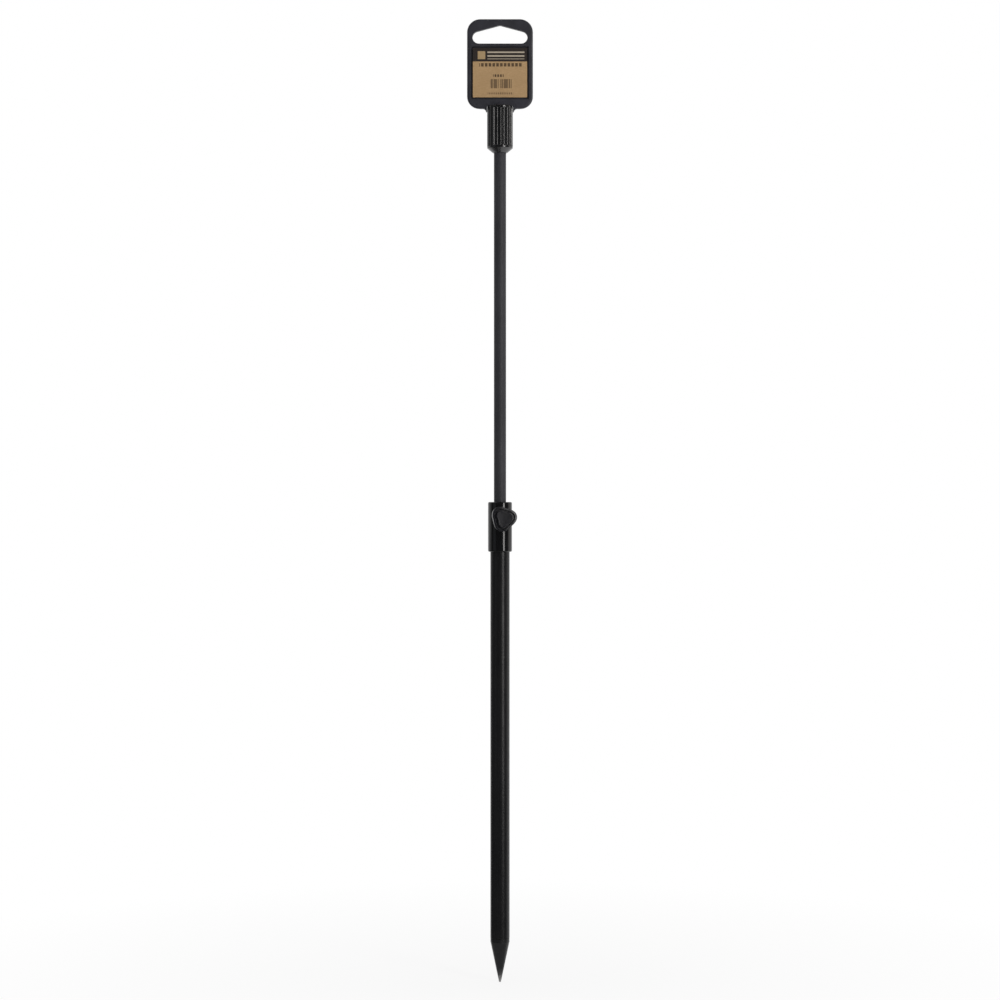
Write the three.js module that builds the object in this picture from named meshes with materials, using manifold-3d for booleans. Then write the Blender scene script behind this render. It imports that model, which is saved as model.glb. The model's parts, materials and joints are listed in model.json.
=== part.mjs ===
// Telescopic bank stick: a tube on a ground spike, an inner rod that a thumbscrew clamps,
// a fluted head that takes a rod rest, and the moulded tag that the stick hangs from.
// Millimetres, +Z up. The origin is the tip of the spike, on the axis of the stick.
// The front of the stick, with the thumbscrew and the label, faces -Y.

import * as THREE from "three";
import { mergeVertices } from "three/addons/utils/BufferGeometryUtils.js";
import Module from "manifold-3d";

const wasm = await Module();
wasm.setup();

// Driving dimensions

const fits = {
  seat: 0.2, // between pieces that are pressed, glued or screwed together
  run: 0.2, // between pieces that slide or turn on each other
  loose: 0.3, // between pieces that drop or plug into a pocket
  ear: 0.12, // between the tag's ears and the head
};

const tube = {
  diameter: 12.7,
  wall: 1.2,
  length: 268.6,
  edge: 0.15,
};

const spike = {
  coneLength: 26.4,
  coneStep: 0.1, // of the cone's base inside the land
  tipRadius: 0.6,
  landStep: 0.08, // of the land inside the tube's outside
  landLength: 2.6,
  shankLength: 15,
  shankEdge: 0.6,
};

const stopPad = {
  sideGap: 0.45,
  thickness: 3,
};

const collar = {
  wall: 1.35, // round the tube
  edge: 0.9,
  socketDepth: 14.1,
  neckLength: 13.3, // between the tube's end and the mouth
  rodGap: 0.4,
  lip: 0.6, // of the mouth above the wiper ring
};

const collarBush = {
  wall: 1.5,
  length: 3,
};

const screw = {
  neckShare: 0.596, // how far up the collar's neck the screw lies
  turnDegrees: 8.6, // how far the screw points round towards +X from the front
  studDiameter: 4.8,
};

const boss = {
  wall: 0.9,
  proud: 0.7,
};

const screwInsert = {
  wall: 1.2,
  floorWall: 0.2, // left in the collar between the insert's pocket and the bore
};

const pressurePad = {
  thickness: 1.1,
  spigotDiameter: 1.6,
  spigotLength: 1.5,
};

const knob = {
  bossGap: 0.6,
  hubDiameter: 8.6,
  hubLength: 2.2,
  meanRadius: 7.9,
  lobe: 0.87,
  lobes: 3,
  firstLobeDegrees: 13,
  thickness: 6.6,
  edge: 0.9,
  rim: 1.5,
  recess: 1.7,
  boreFloor: 1.2, // left between the stud and the inlay's recess
};

const inlay = {
  footThickness: 0.6,
  footStep: 0.9, // of the pad inside its foot, which leaves a groove round it
  proud: 0.5,
  edge: 0.4,
};

const rod = {
  diameter: 8,
  shown: 230.3, // between the collar and the head
  reserve: 3.3, // how much further the guide could rise before the collar stops it
  spigotDiameter: 5.8,
  edge: 0.3,
};

const guideBush = {
  length: 11.6,
  edge: 0.4,
};

const guideWasher = {
  sideGap: 0.85,
  thickness: 0.8,
};

const guideScrew = {
  shankDiameter: 3,
  shankLength: 10,
  headDiameter: 6,
  headHeight: 2,
  driveDiameter: 2.2,
  driveDepth: 1.1,
};

const head = {
  diameter: 16.9,
  footRim: 0.5, // of the foot round the rod's socket
  footHeight: 3,
  rimEdge: 0.4,
  rodSocketDepth: 10,
  web: 3.2, // between the rod's socket and the threaded socket
  threadDiameter: 8.4,
  threadDepth: 17.5,
  threadLead: 0.5,
};

const flutes = {
  count: 24,
  firstDegrees: 6, // round from the right-hand side
  cutterRadius: 0.9,
  depth: 0.5,
  belowRim: 0.9,
  aboveFoot: 0.8,
};

const headScrew = {
  shankDiameter: 4,
  shankLength: 12.5,
  headDiameter: 6.8,
  headHeight: 2.4,
  driveDiameter: 3.4,
  driveDepth: 1.4,
};

const screwHoleSpare = 1; // depth of a tapped hole past the end of its screw

const tag = {
  width: 43.4,
  thickness: 3.6,
  top: 57.5, // above the head's rim
  foot: 1.55, // below the head's rim
  upperCorner: 8.6,
  lowerCorner: 8,
  earTip: 0.6,
  earDrop: 2.2,
  plugLength: 9,
  plugEdge: 0.5,
  rootHeight: 3.4,
  recessDepth: 0.8,
};

const slot = {
  endRadius: 4.1,
  sideMargin: 3.55,
  topMargin: 4.1,
  height: 12.1, // from the flat foot to the corner that the peak rounds
  peakRadius: 3,
};

const card = {
  sideMargin: 3.8, // inside the tag's sides
  headMargin: 3, // below the slot
  foot: 5.8, // above the head's rim
  thickness: 0.4,
  room: 1, // between its edge and the side of its recess
};

const cutterOverrun = 1; // how far a cutter runs past the face that it opens
const weldDistance = 1e-4;

const steps = {
  large: 40,
  small: 24,
  corner: 5,
  lobed: 48,
  ringSection: 10,
  flute: 10,
  fluteCap: 3,
};

// Radii

const tubeRadius = tube.diameter / 2;
const tubeBore = tubeRadius - tube.wall;
const rodRadius = rod.diameter / 2;
const slidingBore = rodRadius + fits.run;
const collarSocket = tubeRadius + fits.seat;
const collarRadius = collarSocket + collar.wall;
const collarBore = rodRadius + collar.rodGap;
const mouthRadius = slidingBore + collarBush.wall + fits.seat;
const studRadius = screw.studDiameter / 2;
const insertBore = studRadius + fits.run;
const insertRadius = insertBore + screwInsert.wall;
const guideScrewHole = guideScrew.shankDiameter / 2 + fits.seat;
const headRadius = head.diameter / 2;
const headScrewHole = headScrew.shankDiameter / 2 + fits.seat;
const threadRadius = head.threadDiameter / 2;

// Heights along the stick

const spikeShoulder = spike.coneLength + spike.landLength;
const shankTop = spikeShoulder + spike.shankLength;
const tubeFoot = spikeShoulder + fits.seat;
const tubeTop = tubeFoot + tube.length;
const collarShoulder = tubeTop + fits.seat;
const collarFoot = collarShoulder - collar.socketDepth;
const mouthFloor = collarShoulder + collar.neckLength;
const bushFoot = mouthFloor + fits.seat;
const bushTop = bushFoot + collarBush.length;
const wiperTop = bushTop + fits.seat + collarBush.wall;
const collarTop = wiperTop + collar.lip;
const screwHeight = collarShoulder + collar.neckLength * screw.neckShare;
const headFoot = collarTop + rod.shown;
const rodTop = headFoot + head.rodSocketDepth - fits.seat;
const threadFloor = headFoot + head.rodSocketDepth + head.web;
const headRim = threadFloor + head.threadDepth;
const guideTop = collarShoulder - rod.reserve;
const guideFoot = guideTop - guideBush.length;
const rodShoulder = guideTop + fits.run;
const spigotFoot = guideFoot - fits.run;
const washerTop = spigotFoot - fits.seat;
const washerFoot = washerTop - guideWasher.thickness;

// Places along the screw, from the axis of the stick outwards

const insertFloor = collarBore + screwInsert.floorWall;
const bossFace = collarRadius + boss.proud;
const padFace = rodRadius + fits.loose;
const padBack = padFace + pressurePad.thickness;
const studTip = padBack + fits.loose;
const knobBack = bossFace + knob.bossGap;
const plateBack = knobBack + knob.hubLength;
const plateFace = plateBack + knob.thickness;
const inlayFloor = plateFace - knob.recess;
const studEnd = inlayFloor - knob.boreFloor;

// The screw's frame: its own +Z points out of the collar, and its +Y points up the stick
const screwFrame = new THREE.Matrix4()
  .makeTranslation(0, 0, screwHeight)
  .multiply(new THREE.Matrix4().makeRotationZ(THREE.MathUtils.degToRad(screw.turnDegrees)))
  .multiply(new THREE.Matrix4().makeRotationX(Math.PI / 2));

// Joins and cuts

function solid(geometry) {
  const bare = new THREE.BufferGeometry();
  bare.setAttribute("position", geometry.getAttribute("position"));
  bare.setIndex(geometry.getIndex());
  const merged = mergeVertices(bare, weldDistance);
  const corners = merged.getIndex().array;
  const kept = [];
  for (let i = 0; i < corners.length; i += 3) {
    const [a, b, c] = [corners[i], corners[i + 1], corners[i + 2]];
    if (a !== b && b !== c && c !== a) {
      kept.push(a, b, c);
    }
  }
  return new wasm.Manifold(
    new wasm.Mesh({
      numProp: 3,
      vertProperties: new Float32Array(merged.getAttribute("position").array),
      triVerts: new Uint32Array(kept),
    }),
  );
}

function geometryOf(made) {
  const mesh = made.getMesh();
  const geometry = new THREE.BufferGeometry();
  geometry.setAttribute("position", new THREE.BufferAttribute(mesh.vertProperties, 3));
  geometry.setIndex(new THREE.BufferAttribute(mesh.triVerts, 1));
  geometry.computeVertexNormals();
  return geometry;
}

function joined(body, other) {
  return geometryOf(solid(body).add(solid(other)));
}

function without(body, ...cutters) {
  let made = solid(body);
  for (const cutter of cutters) {
    made = made.subtract(solid(cutter));
  }
  return geometryOf(made);
}

// Basic shapes

// A turned shape round +Z. Its outline, [radius, height] points, goes up the outside.
function turned(outline, count = steps.large) {
  const points = outline.map(([radius, height]) => new THREE.Vector2(radius, height));
  return new THREE.LatheGeometry(points, count).rotateX(Math.PI / 2);
}

function ring(innerRadius, outerRadius, foot, top, count = steps.large) {
  return turned(
    [
      [innerRadius, foot],
      [outerRadius, foot],
      [outerRadius, top],
      [innerRadius, top],
      [innerRadius, foot],
    ],
    count,
  );
}

function disc(radius, foot, top, count = steps.large) {
  return turned(
    [
      [0, foot],
      [radius, foot],
      [radius, top],
      [0, top],
    ],
    count,
  );
}

// An arc, as outline points, from one angle to the next about its centre
function arc(centreX, centreY, radius, fromDegrees, toDegrees) {
  const points = [];
  for (let i = 0; i <= steps.corner; i += 1) {
    const share = i / steps.corner;
    const angle = THREE.MathUtils.degToRad(THREE.MathUtils.lerp(fromDegrees, toDegrees, share));
    points.push([centreX + radius * Math.cos(angle), centreY + radius * Math.sin(angle)]);
  }
  return points;
}

function shapeOf(outline) {
  return new THREE.Shape(outline.map(([x, y]) => new THREE.Vector2(x, y)));
}

// Tube and spike

function outerTube() {
  return turned([
    [tubeBore, tubeFoot],
    [tubeRadius - tube.edge, tubeFoot],
    [tubeRadius, tubeFoot + tube.edge],
    [tubeRadius, tubeTop - tube.edge],
    [tubeRadius - tube.edge, tubeTop],
    [tubeBore, tubeTop],
    [tubeBore, tubeFoot],
  ]);
}

function groundSpike() {
  const landRadius = tubeRadius - spike.landStep;
  const shankRadius = tubeBore - fits.seat;
  return turned([
    [0, 0],
    ...arc(0, spike.tipRadius, spike.tipRadius, -90, 0).slice(1),
    [landRadius - spike.coneStep, spike.coneLength],
    [landRadius, spike.coneLength],
    [landRadius, spikeShoulder],
    [shankRadius, spikeShoulder],
    [shankRadius, shankTop - spike.shankEdge],
    [shankRadius - spike.shankEdge, shankTop],
    [0, shankTop],
  ]);
}

function stopPadBody() {
  const foot = shankTop + fits.seat;
  return disc(tubeBore - stopPad.sideGap, foot, foot + stopPad.thickness, steps.small);
}

// Collar and what its mouth holds

function clampCollar() {
  const shell = turned([
    [collarSocket, collarFoot],
    ...arc(collarRadius - collar.edge, collarFoot + collar.edge, collar.edge, -90, 0),
    ...arc(collarRadius - collar.edge, collarTop - collar.edge, collar.edge, 0, 90),
    [mouthRadius, collarTop],
    [mouthRadius, mouthFloor],
    [collarBore, mouthFloor],
    [collarBore, collarShoulder],
    [collarSocket, collarShoulder],
    [collarSocket, collarFoot],
  ]);
  const pocketRadius = insertRadius + fits.seat;
  const bossBody = disc(pocketRadius + boss.wall, collarSocket, bossFace);
  const pocket = disc(pocketRadius, insertFloor, bossFace + cutterOverrun);
  const padHole = disc(insertBore, 0, insertFloor + cutterOverrun, steps.small);
  return without(
    joined(shell, bossBody.applyMatrix4(screwFrame)),
    pocket.applyMatrix4(screwFrame),
    padHole.applyMatrix4(screwFrame),
  );
}

function collarBushBody() {
  return ring(slidingBore, mouthRadius - fits.seat, bushFoot, bushTop);
}

function wiperRing() {
  const sectionRadius = collarBush.wall / 2;
  const outline = [];
  for (let i = 0; i < steps.ringSection; i += 1) {
    const angle = (2 * Math.PI * i) / steps.ringSection;
    outline.push([
      slidingBore + sectionRadius + sectionRadius * Math.cos(angle),
      wiperTop - sectionRadius + sectionRadius * Math.sin(angle),
    ]);
  }
  return turned([...outline, outline[0]]);
}

// The pieces on the screw, each in the screw's frame

function screwInsertBody() {
  return ring(insertBore, insertRadius, insertFloor + fits.seat, bossFace, steps.small);
}

function pressurePadBody() {
  const padRadius = studRadius - fits.run;
  const spigotRadius = pressurePad.spigotDiameter / 2;
  return turned(
    [
      [0, padFace],
      [padRadius, padFace],
      [padRadius, padBack],
      [spigotRadius, padBack],
      [spigotRadius, padBack + pressurePad.spigotLength],
      [0, padBack + pressurePad.spigotLength],
    ],
    steps.small,
  );
}

function thumbStud() {
  const holeRadius = pressurePad.spigotDiameter / 2 + fits.run;
  const holeEnd = padBack + pressurePad.spigotLength + fits.loose;
  return turned(
    [
      [holeRadius, studTip],
      [studRadius - fits.run, studTip],
      [studRadius, studTip + fits.run],
      [studRadius, studEnd],
      [0, studEnd],
      [0, holeEnd],
      [holeRadius, holeEnd],
      [holeRadius, studTip],
    ],
    steps.small,
  );
}

function lobedShape(inset) {
  const outline = [];
  const first = THREE.MathUtils.degToRad(knob.firstLobeDegrees);
  for (let i = 0; i < steps.lobed; i += 1) {
    const angle = (2 * Math.PI * i) / steps.lobed;
    const lobe = knob.lobe * Math.cos(knob.lobes * (angle - first));
    const radius = knob.meanRadius - inset + lobe;
    outline.push([radius * Math.cos(angle), radius * Math.sin(angle)]);
  }
  return shapeOf(outline);
}

// A lobed plate from back to face, with rounded rims where an edge is given
function lobedPlate(inset, back, face, edge = 0) {
  const geometry = new THREE.ExtrudeGeometry(lobedShape(inset), {
    depth: face - back - 2 * edge,
    bevelEnabled: edge > 0,
    bevelThickness: edge,
    bevelSize: edge,
    bevelOffset: -edge,
    bevelSegments: 2,
  });
  return geometry.translate(0, 0, back + edge);
}

function thumbKnob() {
  const hub = disc(knob.hubDiameter / 2, knobBack, plateBack + knob.edge, steps.small);
  const plate = lobedPlate(0, plateBack, plateFace, knob.edge);
  const bore = disc(
    studRadius + fits.seat,
    knobBack - cutterOverrun,
    studEnd + fits.seat,
    steps.small,
  );
  const recess = lobedPlate(knob.rim, inlayFloor, plateFace + cutterOverrun);
  return without(joined(hub, plate), bore, recess);
}

function knobInlay() {
  const inset = knob.rim + fits.loose;
  const back = inlayFloor + fits.seat;
  const foot = lobedPlate(inset, back, back + inlay.footThickness);
  const pad = lobedPlate(inset + inlay.footStep, back, plateFace + inlay.proud, inlay.edge);
  return joined(foot, pad);
}

// Rod and guide

function innerRod() {
  const spigotRadius = rod.spigotDiameter / 2;
  const guideHoleTop = washerFoot + guideScrew.shankLength + screwHoleSpare;
  const headHoleFloor = threadFloor - headScrew.shankLength - screwHoleSpare;
  return turned([
    [guideScrewHole, spigotFoot],
    [spigotRadius, spigotFoot],
    [spigotRadius, rodShoulder],
    [rodRadius - rod.edge, rodShoulder],
    [rodRadius, rodShoulder + rod.edge],
    [rodRadius, rodTop - rod.edge],
    [rodRadius - rod.edge, rodTop],
    [headScrewHole, rodTop],
    [headScrewHole, headHoleFloor],
    [0, headHoleFloor],
    [0, guideHoleTop],
    [guideScrewHole, guideHoleTop],
    [guideScrewHole, spigotFoot],
  ]);
}

function guideBushBody() {
  const radius = tubeBore - fits.run;
  const bore = rod.spigotDiameter / 2 + fits.run;
  return turned([
    [bore, guideFoot],
    [radius - guideBush.edge, guideFoot],
    [radius, guideFoot + guideBush.edge],
    [radius, guideTop - guideBush.edge],
    [radius - guideBush.edge, guideTop],
    [bore, guideTop],
    [bore, guideFoot],
  ]);
}

function guideWasherBody() {
  const radius = tubeBore - guideWasher.sideGap;
  return ring(guideScrewHole, radius, washerFoot, washerTop, steps.small);
}

// A cap screw whose head bears at the seat's height. Its shank points up, or down.
function capScrew(sizes, seatHeight, pointsUp) {
  const upright = turned(
    [
      [0, sizes.driveDepth - sizes.headHeight],
      [sizes.driveDiameter / 2, sizes.driveDepth - sizes.headHeight],
      [sizes.driveDiameter / 2, -sizes.headHeight],
      [sizes.headDiameter / 2, -sizes.headHeight],
      [sizes.headDiameter / 2, 0],
      [sizes.shankDiameter / 2, 0],
      [sizes.shankDiameter / 2, sizes.shankLength],
      [0, sizes.shankLength],
    ],
    steps.small,
  );
  return upright.rotateX(pointsUp ? 0 : Math.PI).translate(0, 0, seatHeight);
}

// Head

function stickHead() {
  const socketRadius = rodRadius + fits.seat;
  const socketTop = rodTop + fits.seat;
  const blank = turned([
    [socketRadius, headFoot],
    [socketRadius + head.footRim, headFoot],
    [headRadius, headFoot + head.footHeight],
    [headRadius, headRim - head.rimEdge],
    [headRadius - head.rimEdge, headRim],
    [threadRadius + head.threadLead, headRim],
    [threadRadius, headRim - head.threadLead],
    [threadRadius, threadFloor],
    [headScrewHole, threadFloor],
    [headScrewHole, socketTop],
    [socketRadius, socketTop],
    [socketRadius, headFoot],
  ]);
  const foot = headFoot + head.footHeight + flutes.aboveFoot;
  const length = headRim - flutes.belowRim - foot;
  const first = THREE.MathUtils.degToRad(flutes.firstDegrees);
  const cutters = [];
  for (let i = 0; i < flutes.count; i += 1) {
    const cutter = new THREE.CapsuleGeometry(
      flutes.cutterRadius,
      length - 2 * flutes.cutterRadius,
      steps.fluteCap,
      steps.flute,
    );
    cutter.rotateX(Math.PI / 2);
    cutter.translate(headRadius - flutes.depth + flutes.cutterRadius, 0, foot + length / 2);
    cutters.push(cutter.rotateZ(first + (2 * Math.PI * i) / flutes.count));
  }
  return without(blank, ...cutters);
}

// Tag and card, in the tag's frame: its origin is the middle of the head's rim

const slotFoot = tag.top - slot.topMargin - slot.height;

function mirrored(half) {
  return half.map(([x, y]) => [-x, y]).reverse();
}

// The tag's lower rim is notched over the head, with an ear down each side of it
function tagOutline() {
  const side = tag.width / 2;
  const notch = headRadius + fits.ear;
  const earFoot = -tag.foot - tag.earDrop;
  const half = [
    [notch, fits.loose],
    [notch, earFoot],
    ...arc(notch + tag.earTip + tag.earDrop, earFoot, tag.earDrop, 180, 90),
    ...arc(side - tag.lowerCorner, tag.lowerCorner - tag.foot, tag.lowerCorner, -90, 0),
    ...arc(side - tag.upperCorner, tag.top - tag.upperCorner, tag.upperCorner, 0, 90),
  ];
  return [...half, ...mirrored(half)];
}

// The hanging slot: a flat foot, round ends, and sides that rise to a rounded peak
function slotOutline() {
  const endCentre = tag.width / 2 - slot.sideMargin - slot.endRadius;
  const rise = slot.height - slot.endRadius;
  const slope =
    Math.atan2(rise, endCentre) - Math.asin(slot.endRadius / Math.hypot(rise, endCentre));
  const lean = THREE.MathUtils.radToDeg(slope);
  const peakCentre = slot.height - slot.peakRadius / Math.cos(slope);
  const half = [
    ...arc(endCentre, slotFoot + slot.endRadius, slot.endRadius, -90, 90 - lean),
    ...arc(0, slotFoot + peakCentre, slot.peakRadius, 90 - lean, 90),
  ];
  return [...half, ...mirrored(half).slice(1)];
}

// A plate in the plane of the tag, between two depths in front of the stick's axis
function facePlate(shape, back, front) {
  const geometry = new THREE.ExtrudeGeometry(shape, { depth: front - back, bevelEnabled: false });
  return geometry.translate(0, 0, back).rotateX(Math.PI / 2);
}

function cardShape(margin) {
  const side = tag.width / 2 - card.sideMargin + margin;
  const foot = card.foot - margin;
  const top = slotFoot - card.headMargin + margin;
  return shapeOf([
    [-side, foot],
    [side, foot],
    [side, top],
    [-side, top],
  ]);
}

function hangTag() {
  const half = tag.thickness / 2;
  const plugRadius = threadRadius - fits.loose;
  const shape = shapeOf(tagOutline());
  shape.holes.push(shapeOf(slotOutline()));
  const plug = turned([
    [0, -tag.plugLength],
    [plugRadius - tag.plugEdge, -tag.plugLength],
    [plugRadius, tag.plugEdge - tag.plugLength],
    [plugRadius, fits.loose],
    [half - fits.seat, tag.rootHeight],
    [0, tag.rootHeight],
  ]);
  const recess = facePlate(
    cardShape(card.room),
    half - tag.recessDepth,
    half + cutterOverrun,
  );
  return without(joined(facePlate(shape, -half, half), plug), recess);
}

function labelCard() {
  const back = tag.thickness / 2 - tag.recessDepth + fits.seat;
  return facePlate(cardShape(0), back, back + card.thickness);
}

// Finishes

const finishes = {
  satinBlack: { color: 0x18181b, roughness: 0.42, metalness: 0.6 },
  rodBlack: { color: 0x202024, roughness: 0.5, metalness: 0.55 },
  glossBlack: { color: 0x0d0d10, roughness: 0.18, metalness: 0.3 },
  mouldedBlack: { color: 0x101013, roughness: 0.25, metalness: 0 },
  tagCharcoal: { color: 0x303036, roughness: 0.55, metalness: 0 },
  kraft: { color: 0xa5875f, roughness: 0.9, metalness: 0 },
  acetal: { color: 0x1c1c1e, roughness: 0.6, metalness: 0 },
  rubber: { color: 0x141414, roughness: 0.85, metalness: 0 },
  brass: { color: 0xb08d4a, roughness: 0.35, metalness: 1 },
  steel: { color: 0x8d8f92, roughness: 0.35, metalness: 1 },
};

function piece(name, geometry, finish) {
  const mesh = new THREE.Mesh(
    geometryOf(solid(geometry)),
    new THREE.MeshStandardMaterial({ ...finishes[finish] }),
  );
  mesh.name = name;
  return mesh;
}

// Assembly

const standing = new THREE.Group().add(
  piece("outer_tube", outerTube(), "satinBlack"),
  piece("ground_spike", groundSpike(), "satinBlack"),
  piece("stop_pad", stopPadBody(), "rubber"),
  piece("clamp_collar", clampCollar(), "glossBlack"),
  piece("collar_bush", collarBushBody(), "acetal"),
  piece("wiper_ring", wiperRing(), "rubber"),
);

const clampScrew = new THREE.Group().add(
  piece("screw_insert", screwInsertBody(), "brass"),
  piece("pressure_pad", pressurePadBody(), "acetal"),
  piece("thumb_stud", thumbStud(), "steel"),
  piece("thumb_knob", thumbKnob(), "mouldedBlack"),
  piece("knob_inlay", knobInlay(), "mouldedBlack"),
);
clampScrew.applyMatrix4(screwFrame);

const hanging = new THREE.Group().add(
  piece("hang_tag", hangTag(), "tagCharcoal"),
  piece("label_card", labelCard(), "kraft"),
);
hanging.position.z = headRim;

const sliding = new THREE.Group().add(
  piece("inner_rod", innerRod(), "rodBlack"),
  piece("guide_bush", guideBushBody(), "acetal"),
  piece("guide_washer", guideWasherBody(), "steel"),
  piece("guide_screw", capScrew(guideScrew, washerFoot - fits.seat, true), "steel"),
  piece("stick_head", stickHead(), "glossBlack"),
  piece("head_screw", capScrew(headScrew, threadFloor + fits.seat, false), "steel"),
  hanging,
);

const bankStick = new THREE.Group().add(standing, clampScrew, sliding);

export default bankStick;
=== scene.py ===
"""Bank stick: the looks of its tube, rod, collar, thumbscrew, head and tag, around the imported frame.

Shapes are worked in millimetres and made metres when a piece is finished. +Z is up the stick,
and the thumbscrew and the label face -Y.
"""

import json
import math
from types import SimpleNamespace as Sizes

import bmesh
import bpy
from mathutils import Matrix, Vector


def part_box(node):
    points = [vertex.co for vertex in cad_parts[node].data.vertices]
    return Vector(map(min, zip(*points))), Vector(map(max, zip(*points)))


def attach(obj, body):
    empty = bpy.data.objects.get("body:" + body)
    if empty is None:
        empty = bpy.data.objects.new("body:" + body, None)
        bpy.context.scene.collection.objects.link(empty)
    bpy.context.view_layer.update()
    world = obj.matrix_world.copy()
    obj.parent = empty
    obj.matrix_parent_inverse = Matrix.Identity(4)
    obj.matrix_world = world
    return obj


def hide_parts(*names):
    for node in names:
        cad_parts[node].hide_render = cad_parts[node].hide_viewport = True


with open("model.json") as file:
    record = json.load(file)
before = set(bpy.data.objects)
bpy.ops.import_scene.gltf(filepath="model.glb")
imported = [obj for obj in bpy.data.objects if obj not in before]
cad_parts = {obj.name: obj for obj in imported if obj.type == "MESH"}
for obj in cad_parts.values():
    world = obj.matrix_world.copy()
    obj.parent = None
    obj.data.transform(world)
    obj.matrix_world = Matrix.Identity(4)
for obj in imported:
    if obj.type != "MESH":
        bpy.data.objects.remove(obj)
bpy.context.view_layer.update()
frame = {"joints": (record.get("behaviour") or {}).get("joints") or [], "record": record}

MILLIMETRE = 0.001

# Sizes, in millimetres, from the frame's boxes where these tell them


def box_of(node):
    """The lowest and the highest corner of a CAD node, to a hundredth."""
    return [[round(place / MILLIMETRE, 2) for place in corner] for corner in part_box(node)]


def turned_sizes(node, **own):
    """The radius, foot and top of a turned node, and what its box doesn't tell."""
    (_, _, foot), (radius, _, top) = box_of(node)
    return Sizes(radius=radius, foot=foot, top=top, **own)


fit = 0.2  # between pieces that seat or run in each other
screw_spare = 1.2  # depth of a tapped hole past the end of its screw
weld_gap = 1e-4  # under which two corners are one
closed_radius = 0.1  # of a ring that ends a skin, and is then filled
closed_share = 0.02  # the same for a lobed ring, as a share of its size

tube = turned_sizes("outer_tube", bore=5.15, bore_edge=0.15, edge=0.15)
spike = turned_sizes(
    "ground_spike", tip_radius=0.6, tip_edge=0.5, cone_top=26.4, cone_step=0.1, cone_edge=0.05,
    shoulder=tube.foot - fit, shoulder_edge=0.1, shank_radius=tube.bore - fit, shank_edge=0.6,
    wear_foot=1.0, wear_top=12.0,
)
stop_pad = turned_sizes("stop_pad", edge=0.4)

guide_screw = turned_sizes("guide_screw", shank=1.5, head_height=2.0, drive=1.1, drive_depth=1.1)
guide_screw.seat = guide_screw.foot + guide_screw.head_height
head_screw = turned_sizes("head_screw", shank=2.0, head_height=2.4, drive=1.7, drive_depth=1.4)
head_screw.seat = head_screw.top - head_screw.head_height
screw_edges = Sizes(tip=0.35, seat=0.15, top=0.3, drive=0.12)
guide = turned_sizes("guide_bush", bore=3.1, bore_edge=0.2, edge=0.4)
washer = turned_sizes("guide_washer", bore=guide_screw.shank + fit, bore_edge=0.1, edge=0.15)
rod = turned_sizes(
    "inner_rod", edge=0.3, core=0.05, spigot=guide.bore - fit, spigot_edge=0.2,
    shoulder=guide.top + fit,
    guide_hole=guide_screw.shank + fit, guide_hole_top=guide_screw.top + screw_spare,
    head_hole=head_screw.shank + fit, head_hole_floor=head_screw.foot - screw_spare,
)

bush = turned_sizes("collar_bush", bore=rod.radius + fit, bore_edge=0.3, edge=0.15)
wiper = Sizes(bore=bush.bore, radius=bush.radius, foot=bush.top + fit, bore_edge=0.74, edge=0.74)
wiper.top = wiper.foot + wiper.radius - wiper.bore
collar = turned_sizes(
    "clamp_collar", bore=4.4, bore_edge=0.25, edge=0.9, socket=tube.radius + fit,
    shoulder=tube.top + fit, mouth=bush.radius + fit, mouth_floor=bush.foot - fit,
)

head = turned_sizes(
    "stick_head", rim_edge=0.35, foot_height=3.0, foot_rim=4.7, foot_step=0.12, foot_lift=0.07,
    corner=0.25, socket=rod.radius + fit, socket_edge=0.1, socket_top=rod.top + fit,
    screw_hole=head_screw.shank + fit, floor=head_screw.seat - fit, liner=4.9, mouth=4.7,
)
head.foot_top = head.foot + head.foot_height
head_thread = Sizes(radius=4.2, depth=0.52, pitch=1.27)
flutes = Sizes(count=24, first=math.radians(6), cutter=0.9, depth=0.5, foot_land=0.8, top_land=0.9)
flutes.foot = head.foot_top + flutes.foot_land
flutes.top = head.top - flutes.top_land
flutes.pitch = 2 * math.pi / flutes.count

# The thumbscrew, with heights from the stick's axis outwards

screw_joint = next(joint for joint in frame["joints"] if joint["name"] == "screw_turn")
screw_height = round(screw_joint["pos_m"][2] / MILLIMETRE, 2)
screw_degrees = round(math.degrees(math.atan2(screw_joint["axis"][0], -screw_joint["axis"][1])), 2)
screw_thread = Sizes(depth=0.36, pitch=0.8)
pad = Sizes(radius=2.2, face=4.3, back=5.4, spigot=0.8, spigot_end=6.9, edge=0.2, back_edge=0.15)
stud = Sizes(
    radius=2.4, tip=5.7, point=0.3, thread_end=10.4, end=15.1, edge=0.2, hole=1.0, hole_end=7.2,
)
insert = Sizes(bore=stud.radius + fit, radius=3.8, floor=4.8, face=8.6, edge=0.15, lead=0.2)
boss = Sizes(
    pocket=insert.radius + fit, pocket_edge=0.1, radius=4.9, root=6.2, face=insert.face,
    edge=0.22, fillet=0.42, fillet_steps=5, skirt=0.1, skirt_depth=0.3, reach=5.5,
)
knob = Sizes(
    mean=7.9, lobe=0.87, lobes=3, first_lobe=math.radians(13),
    bore=stud.radius + fit, bore_edge=0.2, bore_end=stud.end + fit,
    hub=4.3, hub_edge=0.35, hub_fillet=0.5, back=9.2, plate=11.4, face=18.0,
    edge=0.9, edge_margin=0.3, draft=0.3, shoulder=0.25, slope=0.2, slope_margin=0.06,
    rim=1.5, lip=0.15, recess_floor=16.3, floor_fillet=0.15, floor_shares=(0.4, closed_share),
)
inlay = Sizes(
    inset=1.8, back=knob.recess_floor + fit, back_edge=0.1, foot_top=17.1, foot_edge=0.12,
    pad_inset=2.7, fillet=0.15, face=18.5, edge=0.4, dish=0.12,
    dish_shares=(0.97, 0.92, 0.85, 0.75, 0.6, 0.45, 0.3, 0.15, closed_share),
)

# The tag, with heights from the head's rim

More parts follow.
